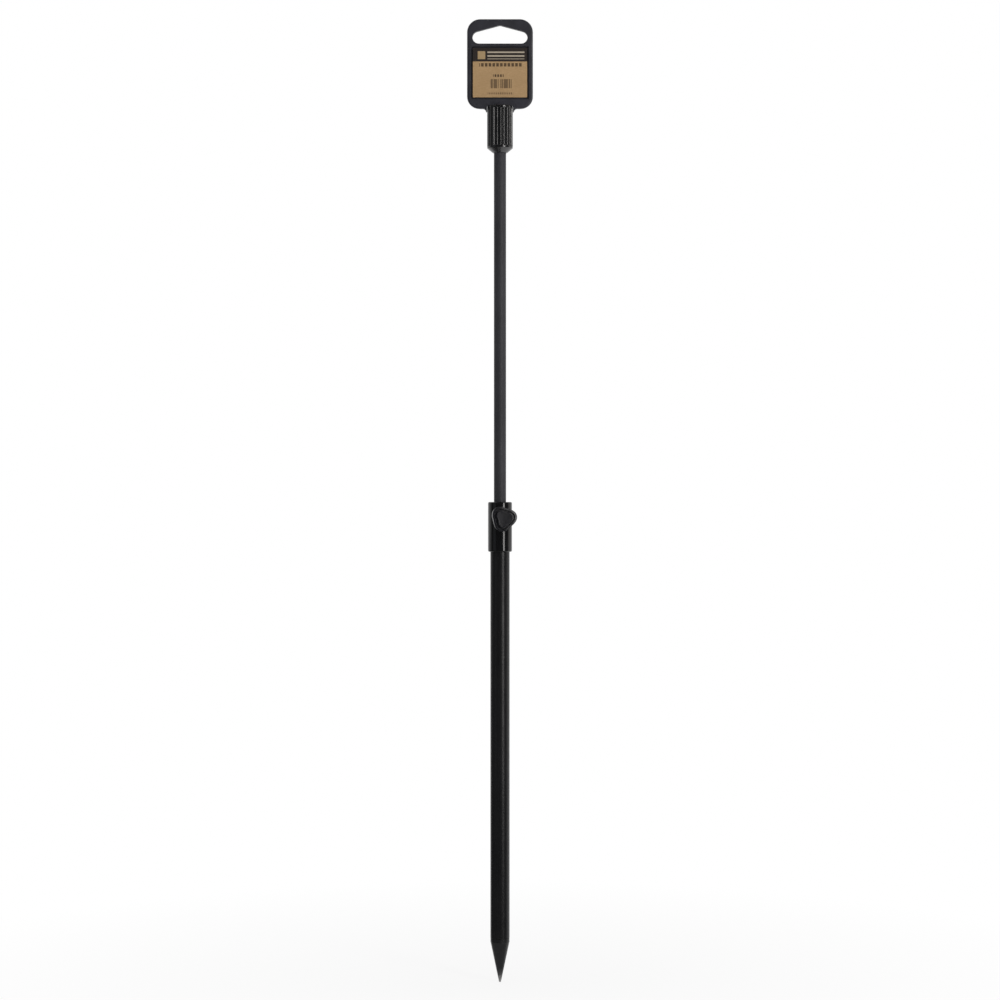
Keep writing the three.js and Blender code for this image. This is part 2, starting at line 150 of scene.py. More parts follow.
(_, _, plug_foot), (tag_side, plug_radius, tag_top) = box_of("hang_tag")
(_, card_front, card_foot), (card_side, card_back, card_top) = box_of("label_card")
tag = Sizes(
    side=tag_side, top=tag_top - head.top, foot=-1.55, half=1.8, upper_corner=8.6,
    lower_corner=8.0, notch=8.57, ceiling=0.3, ear_tip=0.6, ear_drop=2.2, edge=0.27,
    round_over=1.2, recess=0.8, room=1.0, pocket_edge=0.12, groove_depth=0.7, groove_lap=0.05,
)
slot = Sizes(height=12.1, top_margin=4.1, side_margin=3.55, end_radius=4.1, peak_radius=3.0)
slot.foot = tag.top - slot.top_margin - slot.height
slot.end_centre = tag.side - slot.side_margin - slot.end_radius
plug = Sizes(
    radius=plug_radius, foot=plug_foot - head.top, edge=0.6, top_edge=0.15,
    root_radius=1.6, root_top=3.4, root_edge=0.2,
)
card = Sizes(
    side=card_side, foot=card_foot - head.top, top=card_top - head.top, back=-card_back,
    thickness=card_back - card_front, bow=0.12, bow_loss_share=0.4, columns=24, rows=20,
)

# Steps round a circle

around = Sizes(large=128, small=64, screw=48, fluted=240, lobed=144, thread=40, head_thread=64)
arc_steps = 10  # in each arc of the tag's outlines


# Shapes


def weld(shell):
    bmesh.ops.remove_doubles(shell, verts=shell.verts, dist=weld_gap)
    bmesh.ops.dissolve_degenerate(shell, edges=shell.edges, dist=weld_gap)
    bmesh.ops.recalc_face_normals(shell, faces=shell.faces)
    return shell


def corners_of(geometry):
    return [part for part in geometry if isinstance(part, bmesh.types.BMVert)]


def mesh_of(shell, name):
    """A mesh with a shell's shape. The shell is used up."""
    mesh = bpy.data.meshes.new(name)
    shell.to_mesh(mesh)
    shell.free()
    return mesh


def in_scene(name, data):
    """A new object in the scene, at the origin."""
    made = bpy.data.objects.new(name, data)
    bpy.context.scene.collection.objects.link(made)
    return made


def together(*shells):
    """One mesh of several closed shells."""
    whole = bmesh.new()
    for shell in shells:
        part = mesh_of(shell, "part")
        whole.from_mesh(part)
        bpy.data.meshes.remove(part)
    return whole


def cut_from(shell, cutter):
    """A closed shell less what a cutter takes out of it."""
    pair = [in_scene("part", mesh_of(part, "part")) for part in (shell, cutter)]
    cut = pair[0].modifiers.new("cut", "BOOLEAN")
    cut.operation = "DIFFERENCE"
    cut.solver = "EXACT"
    cut.object = pair[1]
    left = bmesh.new()
    left.from_object(pair[0], bpy.context.evaluated_depsgraph_get())
    for item in pair:
        mesh = item.data
        bpy.data.objects.remove(item)
        bpy.data.meshes.remove(mesh)
    return left


def turned(outline, steps=around.large, closed=False, segments=3):
    """An outline of (radius, height) corners, with a rounding where one is given, spun round +Z."""
    shell = bmesh.new()
    corners = [shell.verts.new((radius, 0, height)) for radius, height, *_ in outline]
    ends = corners[1:] + corners[:1] if closed else corners[1:]
    for start, end in zip(corners, ends):
        shell.edges.new((start, end))
    rounded = {}
    for corner, (_, _, *rounding) in zip(corners, outline):
        for size in rounding:
            rounded.setdefault(size, []).append(corner)
    for size, group in rounded.items():
        bmesh.ops.bevel(
            shell, geom=group, offset=size, affect="VERTICES", segments=segments,
            profile=0.5, material=-1,
        )
    bmesh.ops.spin(
        shell, geom=shell.verts[:] + shell.edges[:], cent=(0, 0, 0), axis=(0, 0, 1),
        angle=2 * math.pi, steps=steps, use_merge=True,
    )
    return weld(shell)


def turned_ring(sizes, steps=around.large, segments=3):
    """A ring or tube with square ends, its edges rounded."""
    outline = [
        (sizes.bore, sizes.foot, sizes.bore_edge),
        (sizes.radius, sizes.foot, sizes.edge),
        (sizes.radius, sizes.top, sizes.edge),
        (sizes.bore, sizes.top, sizes.bore_edge),
    ]
    return turned(outline, steps, closed=True, segments=segments)


def placed(ring, place):
    """Puts each corner of a ring at the radius and height that its own angle gives."""
    for corner in ring:
        angle = math.atan2(corner.co.y, corner.co.x)
        radius, height = place(angle)
        corner.co = (radius * math.cos(angle), radius * math.sin(angle), height)


def gathered(ring, shift):
    """Moves each corner of a ring along its circle by an angle that depends on its own."""
    for corner in ring:
        turn = Matrix.Rotation(shift(math.atan2(corner.co.y, corner.co.x)), 3, "Z")
        corner.co.rotate(turn)


def carried_on(shell, edges, places):
    """Extrudes an open rim through a list of places."""
    for place in places:
        made = bmesh.ops.extrude_edge_only(shell, edges=edges)["geom"]
        ring = corners_of(made)
        corners = set(ring)
        edges = [
            part for part in made
            if isinstance(part, bmesh.types.BMEdge) and corners.issuperset(part.verts)
        ]
        placed(ring, place)


def skin(places, steps, shift=None):
    """A skin through rings whose shape depends on the angle, closed at both ends."""
    shell = bmesh.new()
    ring = bmesh.ops.create_circle(shell, cap_ends=False, segments=steps, radius=1)["verts"]
    if shift:
        gathered(ring, shift)
    placed(ring, places[0])
    carried_on(shell, shell.edges[:], places[1:])
    bmesh.ops.remove_doubles(shell, verts=shell.verts, dist=weld_gap)
    bmesh.ops.holes_fill(shell, edges=shell.edges, sides=0)
    return weld(shell)


def circle(radius, height):
    return lambda angle: (radius, height)


def quarter(ring, radius, height, across, up, segments=4, starts_level=False):
    """Rings round a quarter turn, from a radius and height, by a step across and a step up."""
    rings = []
    for i in range(1, segments + 1):
        angle = math.pi / 2 * i / segments
        first, last = math.sin(angle), 1 - math.cos(angle)
        level, rise = (first, last) if starts_level else (last, first)
        rings.append(ring(radius + across * level, height + up * rise))
    return rings


def rims(shell, height):
    """The open edges of a shell at one height."""
    return [
        edge for edge in shell.edges
        if edge.is_boundary and all(abs(v.co.z - height) < weld_gap for v in edge.verts)
    ]


def threaded(crest, root, foot, top, pitch, steps):
    """An open skin with a thread from foot to top. It fades out over the last turn at each end."""
    shell = bmesh.new()
    shares = ((crest, 0), (crest, 0.1), (root, 0.44), (root, 0.56), (crest, 0.9), (crest, 1))
    corners = [shell.verts.new((radius, 0, pitch * (share - 1))) for radius, share in shares]
    for pair in zip(corners, corners[1:]):
        shell.edges.new(pair)
    turns = math.ceil((top - foot) / pitch) + 1
    bmesh.ops.spin(
        shell, geom=shell.verts[:] + shell.edges[:], cent=(0, 0, 0), axis=(0, 0, 1),
        dvec=(0, 0, pitch / steps), angle=2 * math.pi * turns, steps=turns * steps,
    )
    bmesh.ops.remove_doubles(shell, verts=shell.verts, dist=weld_gap)
    for corner in shell.verts:
        radius = corner.co.xy.length
        fade = max(0, min(1, corner.co.z / pitch, (top - foot - corner.co.z) / pitch))
        corner.co.xy *= (crest + (radius - crest) * fade) / radius
        corner.co.z = max(0, min(top - foot, corner.co.z))
    weld(shell)
    bmesh.ops.translate(shell, vec=(0, 0, foot), verts=shell.verts)
    return shell


def drawn(shell, start, strokes):
    """Draws half an outline in the plane of the tag, and mirrors it.

    A stroke is the (x, z) of a line's end, or the (x, z) of an arc's centre and its degrees.
    """
    before = set(shell.verts)
    pen = shell.verts.new((start[0], 0, start[1]))
    for x, z, *degrees in strokes:
        if degrees:
            swept = bmesh.ops.spin(
                shell, geom=[pen], cent=(x, 0, z), axis=(0, -1, 0),
                angle=math.radians(degrees[0]), steps=arc_steps,
            )
            pen = swept["geom_last"][0]
        else:
            pen = bmesh.ops.extrude_vert_indiv(shell, verts=[pen])["verts"][0]
            pen.co = (x, 0, z)
    half = [v for v in shell.verts if v not in before]
    edges = list({edge for v in half for edge in v.link_edges})
    bmesh.ops.mirror(
        shell, geom=half + edges, matrix=Matrix.Identity(4), merge_dist=weld_gap, axis="X"
    )
    return list({edge for v in shell.verts if v not in before for edge in v.link_edges})


# Materials


class Wiring:
    """A node tree, and short ways to add to it."""

    def __init__(self, tree):
        self.tree = tree

    def node(self, kind, inputs=None, **settings):
        made = self.tree.nodes.new("ShaderNode" + kind)
        for name, value in settings.items():
            setattr(made, name, value)
        for name, value in (inputs or {}).items():
            if isinstance(value, bpy.types.NodeSocket):
                self.tree.links.new(value, made.inputs[name])
            else:
                made.inputs[name].default_value = value
        return made

    def ramp(self, value, low, high, from_low=0.35, from_high=0.65):
        inputs = {
            "Value": value, "From Min": from_low, "From Max": from_high,
            "To Min": low, "To Max": high,
        }
        return self.node("MapRange", inputs).outputs[0]

    def math(self, operation, first, second=0.0):
        return self.node("Math", {0: first, 1: second}, operation=operation).outputs[0]

    def along(self, vector, direction):
        """How far a vector points in a direction."""
        made = self.node("VectorMath", {0: vector, 1: direction}, operation="DOT_PRODUCT")
        return made.outputs["Value"]

    def mix_shader(self, share, first, second):
        return self.node("MixShader", {"Fac": share, 1: first, 2: second}).outputs[0]


finishes = {}


class Finish(Wiring):
    """A material whose shader takes its colour, roughness and bump from patterns."""

    def __init__(self, name, **sockets):
        finishes[name] = bpy.data.materials.new(name)
        finishes[name].use_nodes = True
        super().__init__(finishes[name].node_tree)
        self.shader = self.tree.nodes["Principled BSDF"]
        for socket, value in sockets.items():
            self.shader.inputs[socket.replace("_", " ")].default_value = value
        self.coordinates = self.node("TexCoord").outputs["Object"]

    def stretched(self, x, y, z):
        """Object coordinates, with so many pattern cells to a metre along each axis."""
        return self.node("Mapping", {"Vector": self.coordinates, "Scale": (x, y, z)}).outputs[0]

    def noise(self, vector, detail, scale=1.0, roughness=0.5):
        inputs = {"Vector": vector, "Scale": scale, "Detail": detail, "Roughness": roughness}
        return self.node("TexNoise", inputs).outputs["Fac"]

    def mix(self, share, first, second):
        """A colour between two. The node's colour sockets come after its number and vector ones."""
        return self.node("Mix", {0: share, 6: first, 7: second}, data_type="RGBA").outputs[2]

    def blend(self, first, second, share):
        """A pattern of two others, with a share of the second."""
        first = self.math("MULTIPLY", first, 1 - share)
        return self.math("ADD", first, self.math("MULTIPLY", second, share))

    def colour(self, value):
        self.tree.links.new(value, self.shader.inputs["Base Color"])

    def roughness(self, value):
        self.tree.links.new(value, self.shader.inputs["Roughness"])

    def bump(self, height, distance):
        """Raises the surface by a pattern, over a distance in metres."""
        made = self.node("Bump", {"Height": height, "Distance": distance})
        self.tree.links.new(made.outputs["Normal"], self.shader.inputs["Normal"])


def grey(level, blue=0.0):
    return (level, level, level * (1 + blue), 1)


def drawn_anodised(name, dark, light, blue, roughness, ior):
    """Anodised metal with the fine lengthwise lines of drawn stock and faint handling marks."""
    finish = Finish(name, IOR=ior)
    lines = finish.noise(finish.stretched(2600, 2600, 9), detail=4)
    clouds = finish.noise(finish.stretched(90, 90, 35), detail=4, roughness=0.6)
    rubs = finish.noise(finish.stretched(700, 700, 160), detail=5, roughness=0.7)
    tone = finish.ramp(finish.blend(lines, clouds, 0.65), 0, 1)
    finish.colour(finish.mix(tone, grey(dark, blue), grey(light, blue)))
    sheen = finish.blend(lines, rubs, 0.5)
    finish.roughness(finish.ramp(sheen, roughness - 0.07, roughness + 0.09))
    finish.bump(lines, 2e-6)


def turned_anodised(name, dark, light, roughness, ior, pale_tip=None):
    """Anodised metal with the fine rings of a lathe, lighter in patches towards the tip if given the
    span for that.
    """
    finish = Finish(name, IOR=ior)
    rings = finish.noise(finish.stretched(30, 30, 3600), detail=3)
    clouds = finish.noise(finish.stretched(260, 260, 260), detail=4)
    colour = finish.mix(finish.ramp(clouds, 0, 1), grey(dark, 0.1), grey(light, 0.1))
    if pale_tip:
        # The colour goes lighter in patches towards the tip, fully pale at the foot of the span and
        # unchanged above its top.
        height = finish.node("SeparateXYZ", {"Vector": finish.coordinates}).outputs["Z"]
        near_tip = finish.ramp(height, 1, 0, pale_tip.wear_foot * MILLIMETRE, pale_tip.wear_top * MILLIMETRE)
        patches = finish.ramp(finish.noise(finish.stretched(900, 900, 500), detail=4), 0.5, 1.3)
        share = finish.math("MULTIPLY", finish.math("POWER", near_tip, 3.0), patches)
        colour = finish.mix(share, colour, grey(0.34))
    finish.colour(colour)
    finish.roughness(finish.ramp(clouds, roughness - 0.01, roughness + 0.01))
    finish.bump(rings, 1e-7)


def moulded(name, level, roughness, grain, depth, blue=0.1):
    """Moulded plastic: a fine grain, faint flow clouds and a few duller patches."""
    finish = Finish(name, IOR=1.5)
    clouds = finish.noise(finish.stretched(120, 120, 90), detail=3)
    cells = finish.noise(finish.coordinates, scale=grain, detail=2)
    dull = finish.noise(finish.stretched(420, 420, 420), detail=5, roughness=0.65)
    tone = finish.ramp(clouds, 0, 1)
    finish.colour(finish.mix(tone, grey(level * 0.85, blue), grey(level * 1.2, blue)))
    finish.roughness(finish.ramp(dull, roughness - 0.03, roughness + 0.08))
    finish.bump(cells, depth)


def plated(name, bright, dark, roughness):
    """Bright metal with turning rings and a little tarnish."""
    finish = Finish(name, Metallic=1.0)
    rings = finish.noise(finish.stretched(400, 400, 3000), detail=3)
    stain = finish.noise(finish.stretched(900, 900, 900), detail=4)
    finish.colour(finish.mix(finish.ramp(stain, 0, 1, 0.45, 0.75), bright, dark))
    finish.roughness(finish.ramp(rings, roughness - 0.06, roughness + 0.1))
    finish.bump(rings, 2e-6)


card_colours = Sizes(
    dark=(0.35, 0.225, 0.108, 1), light=(0.45, 0.297, 0.155, 1), cloud=(0.33, 0.21, 0.102, 1),
    fleck=(0.17, 0.1, 0.05, 1), ink=(0.045, 0.027, 0.016, 1), band=(0.028, 0.021, 0.018, 1),
    rule=(0.42, 0.36, 0.28, 1), square=(0.36, 0.25, 0.13, 1),
)


def printed_card(name, rim_height):
    """Kraft board with a dark band along its top and a plain print of rules and bars."""
    finish = Finish(name, Specular_IOR_Level=0.3)
    centred = finish.node(
        "Mapping", {"Vector": finish.coordinates, "Location": (0, 0, -rim_height * MILLIMETRE)}
    ).outputs[0]
    place = finish.node("SeparateXYZ", {"Vector": centred}).outputs
    fibres = finish.noise(finish.stretched(900, 900, 4200), detail=4, roughness=0.7)
    flecks = finish.noise(finish.stretched(2600, 2600, 3400), detail=2)
    clouds = finish.noise(finish.stretched(130, 130, 130), detail=3)

    def within(axis, centre, half):
        """1 inside a strip that far to each side of a place, in millimetres, else 0."""
        offset = finish.math("SUBTRACT", place[axis], centre * MILLIMETRE)
        return finish.math("LESS_THAN", finish.math("ABSOLUTE", offset), half * MILLIMETRE)

    def block(x, z, half_width, half_height):
        """1 inside a block that far to each side of a place above the head's rim, else 0."""
        return finish.math("MULTIPLY", within("X", x, half_width), within("Z", z, half_height))

    def bars(cells, least):
        """1 on uneven bars across the card, so many cells to a metre."""
        cell = finish.math("FLOOR", finish.math("MULTIPLY", place["X"], cells))
        chance = finish.node("TexWhiteNoise", {"W": cell}, noise_dimensions="1D").outputs["Value"]
        return finish.math("GREATER_THAN", chance, least)

    def dashes(cells, share):
        """1 on even dashes across the card, so many to a metre, over a share of each cell."""
        cell = finish.math("FRACT", finish.math("MULTIPLY", place["X"], cells))
        return finish.math("LESS_THAN", cell, share)

    colour = finish.mix(finish.ramp(fibres, 0, 1), card_colours.dark, card_colours.light)
    colour = finish.mix(finish.ramp(clouds, 0, 0.35), colour, card_colours.cloud)
    colour = finish.mix(finish.ramp(flecks, 0, 0.5, 0.66, 0.72), colour, card_colours.fleck)
    uneven = finish.math("MAXIMUM", bars(2100, 0.5), dashes(700, 0.35))
    # Each row is an area, the marks that fill it and the strength of their ink
    printed = [
        (block(0.5, 27.25, 14.2, 1.15), dashes(400, 0.7), 0.85),
        (block(-1.1, 20.1, 3.5, 0.85), dashes(560, 0.66), 0.9),
        (block(0.7, 14.8, 7.4, 3.0), uneven, 0.68),
        (block(0.3, 8.4, 8.4, 0.65), dashes(700, 0.6), 0.6),
    ]
    for area, marks, strength in printed:
        ink = finish.math("MULTIPLY", finish.math("MULTIPLY", area, marks), strength)
        colour = finish.mix(ink, colour, card_colours.ink)
    colour = finish.mix(within("Z", 40.0, 10.55), colour, card_colours.band)
    for z, half_height in ((35.53, 0.48), (33.09, 0.48), (31.15, 0.2)):
        colour = finish.mix(block(3.9, z, 12.2, half_height), colour, card_colours.rule)
    colour = finish.mix(block(-12.2, 33.62, 2.5, 2.63), colour, card_colours.square)
    finish.colour(colour)
    finish.roughness(finish.ramp(fibres, 0.78, 0.92))
    finish.bump(fibres, 2e-5)


drawn_anodised("tube_satin_black", dark=0.007, light=0.011, blue=0.1, roughness=0.29, ior=1.35)
drawn_anodised("rod_satin_grey", dark=0.021, light=0.031, blue=0.25, roughness=0.6, ior=1.55)
turned_anodised("point_turned_black", dark=0.007, light=0.011, roughness=0.34, ior=1.38, pale_tip=spike)
turned_anodised("head_gloss_black", dark=0.004, light=0.008, roughness=0.16, ior=1.75)
moulded("collar_gloss_black", level=0.005, roughness=0.1, grain=700, depth=2e-6)
moulded("knob_gloss_black", level=0.008, roughness=0.31, grain=900, depth=4e-6, blue=0.4)
moulded("tag_charcoal", level=0.0245, roughness=0.45, grain=3600, depth=1e-5, blue=0.36)
moulded("acetal_black", level=0.014, roughness=0.42, grain=2500, depth=4e-6)
moulded("seal_rubber", level=0.009, roughness=0.7, grain=3000, depth=1e-5, blue=0)
plated("screw_steel", bright=(0.5, 0.5, 0.51, 1), dark=(0.3, 0.3, 0.3, 1), roughness=0.3)
plated("insert_brass", bright=(0.6, 0.43, 0.17, 1), dark=(0.36, 0.24, 0.1, 1), roughness=0.28)
printed_card("card_kraft", head.top)

# Placing the pieces

along_screw = (
    Matrix.Translation((0, 0, screw_height))
    @ Matrix.Rotation(math.radians(screw_degrees), 4, "Z")
    @ Matrix.Rotation(math.pi / 2, 4, "X")
)
on_head_rim = Matrix.Translation((0, 0, head.top))
pointing_up = Matrix.Rotation(math.pi, 4, "X")
slots = {row["node"]: row["material_slot"] for row in frame["record"]["subparts"]}
bodies = {
    node: body
    for body, nodes in frame["record"]["behaviour"]["bodies"].items()
    for node in nodes
}


def finished(name, node, shell, place=None, finish=None, sharp_above=32):
    """Puts a shape where its CAD node is, and gives it that node's body, slot and finish."""
    bmesh.ops.transform(shell, matrix=place or Matrix.Identity(4), verts=shell.verts)
    bmesh.ops.scale(shell, vec=Vector.Fill(3, MILLIMETRE), verts=shell.verts)
    mesh = mesh_of(shell, name)
    mesh.shade_smooth()
    mesh.set_sharp_from_angle(angle=math.radians(sharp_above))
    mesh.materials.append(finishes[finish or slots[node]])
    piece = in_scene(name, mesh)
    even = piece.modifiers.new("even_normals", "WEIGHTED_NORMAL")
    even.keep_sharp = True
    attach(piece, bodies[node])
    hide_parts(node)


# Tube, point and stop pad


def turned_point():
    return turned(
        [
            (0, 0),
            (spike.tip_radius, 0, spike.tip_edge),
            (spike.radius - spike.cone_step, spike.cone_top),
            (spike.radius, spike.cone_top + spike.cone_step, spike.cone_edge),
            (spike.radius, spike.shoulder, spike.shoulder_edge),
            (spike.shank_radius, spike.shoulder),
            (spike.shank_radius, spike.top, spike.shank_edge),
            (0, spike.top),
        ]
    )


def stop_pad_disc():
    return turned(
        [
            (0, stop_pad.foot),
            (stop_pad.radius, stop_pad.foot, stop_pad.edge),
            (stop_pad.radius, stop_pad.top, stop_pad.edge),
            (0, stop_pad.top),
        ]
    )


finished("drawn_tube", "outer_tube", turned_ring(tube))
finished("turned_point", "ground_spike", turned_point(), finish="point_turned_black")
finished("stop_pad_disc", "stop_pad", stop_pad_disc())

# Collar, bush and wiper ring


def collar_surface(radius, angle):
    """Height of the collar's round wall above the stick's axis, at a place on the boss."""
    return math.sqrt(collar.radius**2 - (radius * math.cos(angle)) ** 2)


def collar_boss():
    """The round boss for the screw, which flares into the collar's wall."""

    def flare(share):
        turn = math.pi / 2 * share
        radius = boss.radius + boss.fillet * (1 - math.cos(turn))
        rise = boss.fillet * (1 - math.sin(turn))
        return lambda angle: (radius, collar_surface(radius, angle) + rise)

    def skirt(radius):
        return lambda angle: (radius, collar_surface(radius, angle) - boss.skirt_depth)

    rings = [
        circle(boss.pocket, boss.root),
        circle(boss.pocket, boss.face - boss.pocket_edge),
        circle(boss.pocket + boss.pocket_edge, boss.face),
        circle(boss.radius - boss.edge, boss.face),
        *quarter(circle, boss.radius - boss.edge, boss.face, boss.edge, -boss.edge, 4, True),
        *[flare(i / boss.fillet_steps) for i in range(boss.fillet_steps + 1)],
        skirt(boss.radius + boss.fillet + boss.skirt),
        circle(boss.pocket, boss.root),
    ]
    return skin(rings, around.lobed)


def collar_body():
    return turned(
        [
            (collar.socket, collar.foot, collar.bore_edge),
            (collar.radius, collar.foot, collar.edge),
            (collar.radius, screw_height - boss.reach),
            (collar.radius, screw_height + boss.reach),
            (collar.radius, collar.top, collar.edge),
            (collar.mouth, collar.top, collar.bore_edge),
            (collar.mouth, collar.mouth_floor),
            (collar.bore, collar.mouth_floor),
            (collar.bore, collar.shoulder),
            (collar.socket, collar.shoulder),
        ],
        closed=True,
        segments=4,
    )


def moulded_collar():
    side = collar_boss()
    inside = collar.bore / 2
    hole_radius = boss.pocket + boss.pocket_edge
    hole = turned(
        [(0, inside), (hole_radius, inside), (hole_radius, boss.face), (0, boss.face)],
        around.small,
    )
    for part in (side, hole):
        bmesh.ops.transform(part, matrix=along_screw, verts=part.verts)
    return together(cut_from(collar_body(), hole), side)


finished("moulded_collar", "clamp_collar", moulded_collar())
finished("collar_bush_ring", "collar_bush", turned_ring(bush))
finished("wiper_seal", "wiper_ring", turned_ring(wiper, segments=5))

# The thumbscrew, worked with the screw along +Z


def threaded_insert():
    lead_foot = insert.floor + insert.lead
    lead_top = insert.face - insert.lead
    shell = threaded(
        insert.bore, insert.bore + screw_thread.depth, lead_foot, lead_top,
        screw_thread.pitch, around.thread,
    )
    carried_on(
        shell,
        rims(shell, lead_top),
        [
            circle(insert.bore + insert.lead, insert.face),
            circle(insert.radius - insert.edge, insert.face),
            circle(insert.radius, insert.face - insert.edge),
            circle(insert.radius, insert.floor + insert.edge),
            circle(insert.radius - insert.edge, insert.floor),
            circle(insert.bore + insert.lead, insert.floor),
            circle(insert.bore, lead_foot),
        ],
    )
    return weld(shell)


def pressure_plug():
    return turned(
        [
            (0, pad.face),
            (pad.radius, pad.face, pad.edge),
            (pad.radius, pad.back, pad.back_edge),
            (pad.spigot, pad.back),
            (pad.spigot, pad.spigot_end, pad.edge),
            (0, pad.spigot_end),
        ],
        around.small,
    )


def threaded_stud():
    thread_foot = stud.tip + stud.point
    shell = threaded(
        stud.radius, stud.radius - screw_thread.depth, thread_foot, stud.thread_end,
        screw_thread.pitch, around.thread,
    )
    carried_on(
        shell,
        rims(shell, thread_foot),
        [
            circle(stud.radius - stud.point, stud.tip),
            circle(stud.hole, stud.tip),
            circle(stud.hole, stud.hole_end),
            circle(closed_radius, stud.hole_end),
        ],
    )
    carried_on(
        shell,
        rims(shell, stud.thread_end),
        [
            circle(stud.radius, stud.end - stud.edge),
            circle(stud.radius - stud.edge, stud.end),
            circle(closed_radius, stud.end),
        ],
    )
    bmesh.ops.holes_fill(shell, edges=shell.edges, sides=0)
    return weld(shell)


def lobed(inset, height, share=1.0):
    """A ring of the knob's outline, that far inside it, or a share of that ring's size."""

    def place(angle):
        wave = knob.lobe * math.cos(knob.lobes * (angle - knob.first_lobe))
        return share * (knob.mean - inset + wave), height

    return place


def lobed_knob():
    back_edge = knob.draft + knob.edge
    wall_top = knob.face - knob.slope - knob.shoulder
    lip_inset = knob.rim - knob.lip
    floor_edge = knob.recess_floor + knob.floor_fillet
    floor_inset = knob.rim + knob.floor_fillet

    def on_slope(inset):
        climb = (inset - knob.shoulder) / (lip_inset - knob.shoulder)
        return lobed(inset, knob.face - knob.slope * (1 - climb))

    rings = [
        circle(closed_radius, knob.bore_end),
        circle(knob.bore, knob.bore_end),
        circle(knob.bore, knob.back + knob.bore_edge),
        circle(knob.bore + knob.bore_edge, knob.back),
        circle(knob.hub - knob.hub_edge, knob.back),
        *quarter(circle, knob.hub - knob.hub_edge, knob.back, knob.hub_edge, knob.hub_edge, 4, True),
        circle(knob.hub, knob.plate - knob.hub_fillet),
        *quarter(circle, knob.hub, knob.plate - knob.hub_fillet, knob.hub_fillet, knob.hub_fillet),
        lobed(back_edge + knob.edge_margin, knob.plate),
        lobed(back_edge, knob.plate),
        *quarter(lobed, back_edge, knob.plate, -knob.edge, knob.edge, 6, True),
        lobed(0, wall_top - knob.edge_margin),
        lobed(0, wall_top),
        *quarter(lobed, 0, wall_top, knob.shoulder, knob.shoulder, 4),
        on_slope(knob.shoulder + knob.slope_margin),
        on_slope(lip_inset - knob.slope_margin),
        on_slope(lip_inset),
        *quarter(lobed, lip_inset, knob.face, knob.lip, -knob.lip, 3, True),
        lobed(knob.rim, floor_edge),
        *quarter(lobed, knob.rim, floor_edge, knob.floor_fillet, -knob.floor_fillet, 3),
        *[lobed(floor_inset, knob.recess_floor, share) for share in knob.floor_shares],
    ]
    return skin(rings, around.lobed)


def dished_inlay():
    top_inset = inlay.pad_inset + inlay.edge
    fillet_inset = inlay.pad_inset - inlay.fillet
    pad_wall = inlay.face - inlay.edge
    rings = [
        lobed(inlay.inset + inlay.back_edge, inlay.back, closed_share),
        lobed(inlay.inset + inlay.back_edge, inlay.back),
        lobed(inlay.inset, inlay.back + inlay.back_edge),
        lobed(inlay.inset, inlay.foot_top - inlay.foot_edge),
        lobed(inlay.inset + inlay.foot_edge, inlay.foot_top),
        lobed(fillet_inset, inlay.foot_top),
        *quarter(lobed, fillet_inset, inlay.foot_top, inlay.fillet, inlay.fillet, 3, True),
        lobed(inlay.pad_inset, pad_wall),
        *quarter(lobed, inlay.pad_inset, pad_wall, inlay.edge, inlay.edge, 5),
        *[
            lobed(top_inset, inlay.face - inlay.dish * (1 - share**2), share)
            for share in inlay.dish_shares
        ],
    ]
    return skin(rings, around.lobed)


finished("threaded_insert", "screw_insert", threaded_insert(), along_screw)
finished("pressure_plug", "pressure_pad", pressure_plug(), along_screw)
finished("threaded_stud", "thumb_stud", threaded_stud(), along_screw)
finished("lobed_knob", "thumb_knob", lobed_knob(), along_screw)
finished("dished_inlay", "knob_inlay", dished_inlay(), along_screw)

# Rod and guide


def drawn_rod():
    return turned(
        [
            (rod.guide_hole, rod.foot),
            (rod.spigot, rod.foot, rod.spigot_edge),
            (rod.spigot, rod.shoulder),
            (rod.radius, rod.shoulder, rod.edge),
            (rod.radius, rod.top, rod.edge),
            (rod.head_hole, rod.top),
            (rod.head_hole, rod.head_hole_floor),
            (rod.core, rod.head_hole_floor),
            (rod.core, rod.guide_hole_top),
            (rod.guide_hole, rod.guide_hole_top),
        ],
        closed=True,
    )


def hexagon(across, height):
    """A ring of a hexagon, that far from its middle to each flat."""

    def place(angle):
        off_flat = (angle + math.pi / 6) % (math.pi / 3) - math.pi / 6
        return across / math.cos(off_flat), height

    return place


def socket_screw(sizes):
    """A cap screw with a hexagon socket. Its head stands on its seat, and its shank points down."""
    length = sizes.top - sizes.foot - sizes.head_height
    flat = sizes.drive * math.cos(math.pi / 6)
    top_wall = sizes.head_height - screw_edges.top
    drive_floor = sizes.head_height - sizes.drive_depth
    rings = [
        circle(closed_radius, -length),
        circle(sizes.shank - screw_edges.tip, -length),
        circle(sizes.shank, screw_edges.tip - length),
        circle(sizes.shank, 0),
        circle(sizes.radius - screw_edges.seat, 0),
        circle(sizes.radius, screw_edges.seat),
        circle(sizes.radius, top_wall),
        *quarter(circle, sizes.radius, top_wall, -screw_edges.top, screw_edges.top),
        hexagon(flat + screw_edges.drive, sizes.head_height),
        hexagon(flat, sizes.head_height - screw_edges.drive),
        hexagon(flat, drive_floor),
        circle(closed_radius, drive_floor),
    ]
    return skin(rings, around.screw)


at_guide_seat = Matrix.Translation((0, 0, guide_screw.seat)) @ pointing_up
at_head_seat = Matrix.Translation((0, 0, head_screw.seat))
finished("drawn_rod", "inner_rod", drawn_rod())
finished("guide_sleeve", "guide_bush", turned_ring(guide))
finished("guide_disc", "guide_washer", turned_ring(washer, around.small))
finished("guide_cap_screw", "guide_screw", socket_screw(guide_screw), at_guide_seat)
finished("head_cap_screw", "head_screw", socket_screw(head_screw), at_head_seat)

# Fluted head

flute_centre = head.radius - flutes.depth + flutes.cutter
flute_side = math.acos(
    (head.radius**2 + flute_centre**2 - flutes.cutter**2) / (2 * head.radius * flute_centre)
)


